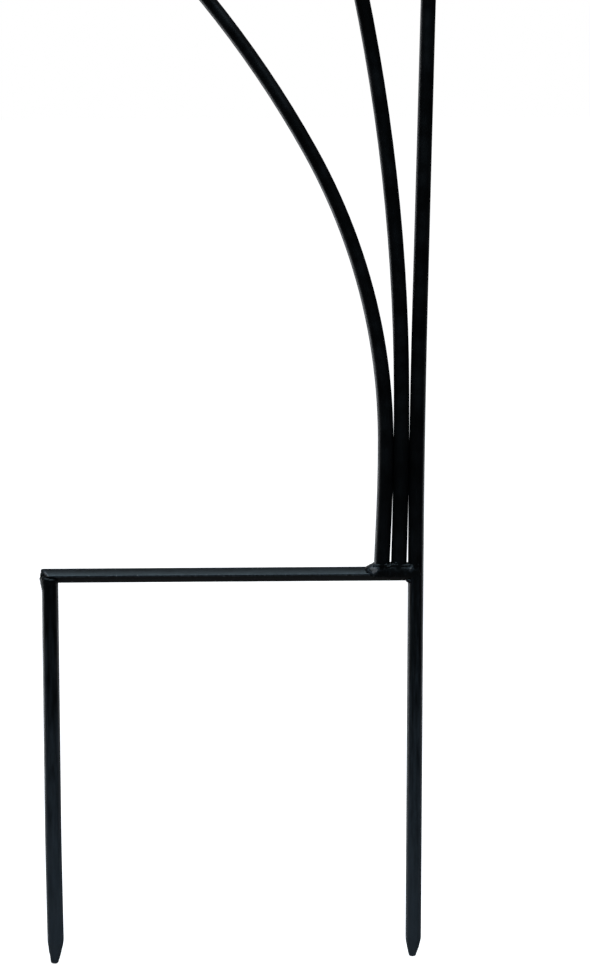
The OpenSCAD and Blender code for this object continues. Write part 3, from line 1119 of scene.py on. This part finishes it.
class TRELLIS_OT_sleeves(bpy.types.Operator):
    """Make the three crown sleeves with rounded mouths and screw holes"""

    bl_idname = "trellis.sleeves"
    bl_label = "Make sleeves"

    def execute(self, context):
        plan = Plan(context.scene)
        for name in ARCHES:
            mesh = self.sleeve(plan, plan.crowns[name])
            finish_piece(f"{name}_sleeve_tube", mesh, rod_coat(), [f"{name}_sleeve"], sharp=50)
        return {"FINISHED"}

    def sleeve(self, plan, height):
        """A tube along X with its screw holes cut."""
        bore = plan.rod_r + plan.joints.sleeve_clear
        outer = bore + plan.joints.sleeve_wall
        half = plan.joints.sleeve / 2
        edge = 0.45 * MM
        profile = []
        for turn in (0, 22.5, 45, 67.5, 90):
            a = math.radians(turn)
            profile.append((half - edge + edge * math.sin(a), outer - edge + edge * math.cos(a)))
        profile.append((half, bore + 0.3 * MM))
        profile.append((half - 0.25 * MM, bore))
        inside = [(-x, r) for x, r in reversed(profile)]
        middles = [half * part for part in (0.75, 0.5, 0.25, 0, -0.25, -0.5, -0.75)]
        loop = profile + [(x, bore) for x in middles] + inside + [(x, outer) for x in reversed(middles)]
        facets = 64
        points = []
        wear_and_painted_light = []
        for along, radius in loop:
            for i in range(facets):
                turn = 2 * math.pi * i / facets
                y = radius * math.cos(turn)
                z = height + radius * math.sin(turn)
                points.append(Vector((along, y, z)))
                wear_and_painted_light.append(0.5 if half - abs(along) < 0.5 * MM else 0.05)
        faces = []
        for k in range(len(loop)):
            after = (k + 1) % len(loop)
            faces.extend(ring_faces(k * facets, after * facets, facets))
        mesh = mesh_from(points, faces, wear_and_painted_light)
        return self.drilled(plan, mesh, height)

    def drilled(self, plan, mesh, height):
        """Cuts the two screw holes in the sleeve's back."""
        body = bpy.data.objects.new("sleeve_body", mesh)
        drill_mesh = bpy.data.meshes.new("drill")
        drill = bmesh.new()
        radius = plan.joints.screw / 2 + 0.06 * MM
        depth = 10 * MM
        for side in SIDES:
            x = side * (plan.joints.sleeve / 2 - plan.joints.screw_inset)
            spin = Matrix.Rotation(math.radians(90), 4, "X")
            move = Matrix.Translation((x, plan.rod_r + depth / 2, height))
            bmesh.ops.create_cone(
                drill,
                cap_ends=True,
                segments=40,
                radius1=radius,
                radius2=radius,
                depth=depth,
                matrix=move @ spin,
            )
        drill.to_mesh(drill_mesh)
        drill.free()
        cutter = bpy.data.objects.new("drill", drill_mesh)
        for made in (body, cutter):
            bpy.context.scene.collection.objects.link(made)
        cut = body.modifiers.new("holes", "BOOLEAN")
        cut.operation = "DIFFERENCE"
        cut.solver = "EXACT"
        cut.object = cutter
        view = bpy.context.evaluated_depsgraph_get()
        result = bpy.data.meshes.new_from_object(body.evaluated_get(view))
        for made in (body, cutter):
            bpy.data.objects.remove(made)
        return result


class TRELLIS_OT_set_screws(bpy.types.Operator):
    """Make the six set screws with chamfered rims and hexagon sockets"""

    bl_idname = "trellis.set_screws"
    bl_label = "Make set screws"

    def execute(self, context):
        plan = Plan(context.scene)
        points = []
        faces = []
        for name in ARCHES:
            for side in SIDES:
                x = side * (plan.joints.sleeve / 2 - plan.joints.screw_inset)
                self.screw(plan, points, faces, x, plan.crowns[name], 17 * side)
        mesh = mesh_from(points, faces)
        finish_piece("set_screws", mesh, zinc_material(), ["sleeve_screws"], 30)
        return {"FINISHED"}

    def screw(self, plan, points, faces, x, z, turned):
        """One screw along +Y, with its socket turned by some degrees."""
        joints = plan.joints
        low = plan.rod_r
        high = low + joints.sleeve_clear + joints.sleeve_wall + 0.6 * MM
        radius = joints.screw / 2
        count = 36

        def socket(turn, part=1.0):
            folded = (math.degrees(turn) + turned) % 60 - 30
            return part * joints.key / 2 / math.cos(math.radians(folded))

        levels = [
            (low, lambda turn: radius * 0.62),
            (low + 0.35 * MM, lambda turn: radius),
            (high - 0.3 * MM, lambda turn: radius),
            (high - 0.08 * MM, lambda turn: radius * 0.9),
            (high, lambda turn: radius * 0.82),
            (high, lambda turn: socket(turn, 1.12)),
            (high - 0.12 * MM, lambda turn: socket(turn)),
            (high - 1.2 * MM, lambda turn: socket(turn)),
        ]
        base = len(points)
        for y, reach in levels:
            for i in range(count):
                turn = 2 * math.pi * i / count
                out = reach(turn)
                points.append(Vector((x + out * math.cos(turn), y, z + out * math.sin(turn))))
        for k in range(len(levels) - 1):
            faces.extend(ring_faces(base + k * count, base + (k + 1) * count, count))
        faces.append(tuple(range(base, base + count)))
        bottom = len(points)
        points.append(Vector((x, high - 1.45 * MM, z)))
        last = base + (len(levels) - 1) * count
        for i in range(count):
            faces.append((last + i, last + (i + 1) % count, bottom))


class TRELLIS_OT_foot_welds(bpy.types.Operator):
    """Lay the weld beads of both feet"""

    bl_idname = "trellis.foot_welds"
    bl_label = "Lay foot welds"

    def execute(self, context):
        plan = Plan(context.scene)
        for side in SIDES:
            lumps = joint_lumps(plan, 5) + highlight_lumps(plan) + prong_lumps(plan, 9)
            # Painted highlights on the weld's front, mirrored to each side.
            highlight_marks = [(Vector((s.x * side, s.y, s.z)), r, w) for s, r, w in self.painted_highlight_spots(plan)]
            mesh = bead_skin(flipped(lumps, side), plan.joints.grain, 2, 0.16 * MM, highlight_marks)
            name = f"foot_welds_{SIDE_NAMES[side]}"
            finish_piece(name + "_beads", mesh, bead_coat(), [name], sharp=180)
        return {"FINISHED"}

    def painted_highlight_spots(self, plan):
        """Painted highlights on the front of the joint, as (middle, radius, strength), right side."""
        edge = plan.starts["inner"][0] - plan.rod_r
        outer = plan.starts["outer"][0]
        middle = plan.starts["middle"][0]
        return [
            (Vector((edge - 0.0005, -0.005, 0.0078)), 0.0038, 0.95),
            (Vector((outer - 0.0036, -0.006, 0.0084)), 0.0022, 0.95),
            (Vector((middle - 0.0019, -0.0055, 0.0122)), 0.0016, 0.55),
        ]


class TRELLIS_OT_ray_welds(bpy.types.Operator):
    """Lay the weld nuggets where the rays cross the arches"""

    bl_idname = "trellis.ray_welds"
    bl_label = "Lay ray welds"

    def execute(self, context):
        plan = Plan(context.scene)
        shaky = random.Random(23)
        lumps = []
        for angle in plan.ray_angles.values():
            for name in ARCHES:
                distance, arch_lean = plan.crossing(name, angle)
                x = distance * math.sin(angle) / MM
                z = (plan.joints.ray_centre + distance * math.cos(angle)) / MM
                lumps.extend(self.nugget(plan, shaky, x, z))
        for side in SIDES:
            mesh = bead_skin(flipped(lumps, side), 0.36 * MM, 2, 0.14 * MM)
            name = f"ray_welds_{SIDE_NAMES[side]}"
            finish_piece(name + "_beads", mesh, bead_coat(), [name], sharp=180)
        return {"FINISHED"}

    def nugget(self, plan, shaky, x, z):
        """Lumps of one nugget about the place where the two rods touch."""
        y = plan.rod_r / MM + 0.1
        made = [lump(x, y, z, 3.0, 1.9, 3.0)]
        for i in range(8):
            turn = 2 * math.pi * i / 8 + shaky.uniform(-0.2, 0.2)
            out = 2.45 + shaky.uniform(-0.2, 0.2)
            size = 1.7 + shaky.uniform(-0.15, 0.2)
            made.append(lump(x + out * math.cos(turn), y, z + out * math.sin(turn), size, 1.9, size))
        return made


class TRELLIS_OT_stage(bpy.types.Operator):
    """Set the pale floor, the soft lights and the camera"""

    bl_idname = "trellis.stage"
    bl_label = "Set the stage"

    def execute(self, context):
        plan = Plan(context.scene)
        self.colours(context.scene)
        self.floor(context.scene)
        self.surround(context.scene)
        self.lights(plan)
        self.camera(context.scene, plan)
        return {"FINISHED"}

    def colours(self, scene):
        """Plain colours, as a white studio shows them."""
        scene.view_settings.view_transform = "Standard"
        scene.view_settings.look = "None"
        scene.view_settings.exposure = 0.0
        scene.view_settings.gamma = 1.0

    def floor(self, scene):
        """A wide pale floor at the ground points, evenly bright to the camera."""
        disc = bmesh.new()
        bmesh.ops.create_circle(disc, cap_ends=True, segments=96, radius=40.0)
        mesh = bpy.data.meshes.new("floor")
        disc.to_mesh(mesh)
        disc.free()
        floor = bpy.data.objects.new("floor", mesh)
        floor.location.z = CAD_BOX[0].z - 0.0002
        floor.visible_glossy = False
        scene.collection.objects.link(floor)
        material = bpy.data.materials.new("pale_floor")
        material.use_nodes = True
        tree = material.node_tree
        shader = tree.nodes["Principled BSDF"]
        shader.inputs["Base Color"].default_value = (*scene.trellis_finish.floor, 1.0)
        shader.inputs["Roughness"].default_value = 0.8
        shader.inputs["Specular IOR Level"].default_value = 0.1
        shader.inputs["Emission Color"].default_value = WHITE
        path = tree.nodes.new("ShaderNodeLightPath")
        glow = math_node(tree, "MULTIPLY", path.outputs["Is Camera Ray"], 0.93)
        wire(tree, glow, shader.inputs["Emission Strength"])
        mesh.materials.append(material)

    def surround(self, scene):
        """A white backdrop for the camera, and a dim graded room for the metal."""
        world = bpy.data.worlds.new("studio")
        scene.world = world
        world.use_nodes = True
        tree = world.node_tree
        tree.nodes.clear()
        end = tree.nodes.new("ShaderNodeOutputWorld")
        seen = tree.nodes.new("ShaderNodeBackground")
        seen.inputs["Color"].default_value = WHITE
        seen.inputs["Strength"].default_value = 1.0
        room = tree.nodes.new("ShaderNodeBackground")
        room.inputs["Color"].default_value = (0.9, 0.95, 1.0, 1.0)
        way = tree.nodes.new("ShaderNodeTexCoord")
        split = tree.nodes.new("ShaderNodeSeparateXYZ")
        wire(tree, way.outputs["Generated"], split.inputs[0])
        above = step_node(tree, split.outputs["Z"], 0.35, 0.95)
        below = step_node(tree, split.outputs["Z"], -0.5, -1.0)
        upper = math_node(tree, "MULTIPLY_ADD", above, 0.24, 0.012)
        strength = math_node(tree, "MULTIPLY_ADD", below, 0.12, upper)
        wire(tree, strength, room.inputs["Strength"])
        path = tree.nodes.new("ShaderNodeLightPath")
        choose = tree.nodes.new("ShaderNodeMixShader")
        wire(tree, path.outputs["Is Camera Ray"], choose.inputs[0])
        wire(tree, room.outputs[0], choose.inputs[1])
        wire(tree, seen.outputs[0], choose.inputs[2])
        wire(tree, choose.outputs[0], end.inputs["Surface"])

    def softbox(self, name, place, target, size, radiance, tint):
        """One rectangular soft light, given the brightness of its face."""
        lamp = bpy.data.lights.new(name, "AREA")
        lamp.shape = "RECTANGLE"
        lamp.size = size[0]
        lamp.size_y = size[1]
        lamp.energy = radiance * math.pi * size[0] * size[1]
        lamp.color = tint
        box = bpy.data.objects.new(name, lamp)
        box.location = place
        aim = Vector(target) - Vector(place)
        box.rotation_euler = aim.to_track_quat("-Z", "Y").to_euler()
        box.visible_camera = False
        bpy.context.scene.collection.objects.link(box)

    def lights(self, plan):
        """Soft light from the left, from above in front, from behind, and low from both sides."""
        foot = plan.half - plan.feet.spacing / 2
        low = -plan.feet.prong_depth / 2
        spot = (foot, 0.0, 0.0)
        middle = (0.0, 0.0, 0.7)
        cool = (0.9, 0.95, 1.0)
        sky = (0.6, 0.84, 1.0)
        left = (foot - 0.66, 0.36, low)
        right = (foot + 0.64, 0.44, low)
        self.softbox("left_box", (foot - 1.7, 1.5, 0.3), spot, (0.9, 2.6), 2.0, cool)
        self.softbox("front_top_box", (foot, -1.3, 2.3), spot, (2.6, 1.5), 3.0, sky)
        self.softbox("low_left_box", left, (foot, 0, low), (0.5, 0.28), 1.9, cool)
        self.softbox("low_right_box", right, (foot, 0, low), (0.36, 0.28), 1.8, cool)
        self.softbox("back_box", (0.0, 3.2, 2.4), middle, (3.0, 1.6), 0.6, cool)

    def camera(self, scene, plan):
        """A long lens that looks at the right foot, a little from above."""
        data = bpy.data.cameras.new("camera")
        data.sensor_width = 36.0
        data.lens = 134.02
        data.clip_end = 200.0
        data.dof.use_dof = False
        pitch = math.radians(6.568)
        yaw = math.radians(0.6)
        roll = math.radians(0.3)
        ahead = Vector(
            (math.sin(yaw) * math.cos(pitch), math.cos(yaw) * math.cos(pitch), -math.sin(pitch))
        )
        right = Vector((math.cos(yaw), -math.sin(yaw), 0.0))
        up = right.cross(ahead)
        rolled_right = right * math.cos(roll) - up * math.sin(roll)
        rolled_up = up * math.cos(roll) + right * math.sin(roll)
        turn = Matrix((rolled_right, rolled_up, -ahead)).transposed()
        camera = bpy.data.objects.new("camera", data)
        joint = Vector((plan.half, 0.0, plan.bar_h))
        stand = Vector((-0.10149, -2.2958, 0.32299))
        camera.matrix_world = Matrix.Translation(joint + stand) @ turn.to_4x4()
        scene.collection.objects.link(camera)
        scene.camera = camera


# --- Panel and start ---------------------------------------------------------
STEPS = (
    "arches",
    "foot_bars",
    "prongs",
    "rays",
    "sleeves",
    "set_screws",
    "foot_welds",
    "ray_welds",
    "stage",
)


class TRELLIS_PT_panel(bpy.types.Panel):
    """Lists the pieces of the trellis arch"""

    bl_label = "Trellis arch"
    bl_idname = "TRELLIS_PT_panel"
    bl_space_type = "VIEW_3D"
    bl_region_type = "UI"
    bl_category = "Trellis"

    def draw(self, context):
        column = self.layout.column()
        for step in STEPS:
            column.operator(f"trellis.{step}")


CLASSES = (
    TrellisRods,
    TrellisFeet,
    TrellisJoints,
    TrellisFinish,
    TRELLIS_OT_arches,
    TRELLIS_OT_foot_bars,
    TRELLIS_OT_prongs,
    TRELLIS_OT_rays,
    TRELLIS_OT_sleeves,
    TRELLIS_OT_set_screws,
    TRELLIS_OT_foot_welds,
    TRELLIS_OT_ray_welds,
    TRELLIS_OT_stage,
    TRELLIS_PT_panel,
)


def register():
    """Registers the classes and hangs their sizes on the scene."""
    for entry in CLASSES:
        bpy.utils.register_class(entry)
    bpy.types.Scene.trellis_rods = PointerProperty(type=TrellisRods)
    bpy.types.Scene.trellis_feet = PointerProperty(type=TrellisFeet)
    bpy.types.Scene.trellis_joints = PointerProperty(type=TrellisJoints)
    bpy.types.Scene.trellis_finish = PointerProperty(type=TrellisFinish)


def unregister():
    """Takes the sizes and classes away again."""
    del bpy.types.Scene.trellis_finish
    del bpy.types.Scene.trellis_joints
    del bpy.types.Scene.trellis_feet
    del bpy.types.Scene.trellis_rods
    for entry in reversed(CLASSES):
        bpy.utils.unregister_class(entry)


def main():
    """Builds every piece and the stage."""
    register()
    for step in STEPS:
        getattr(bpy.ops.trellis, step)()


if __name__ == "__main__":
    main()
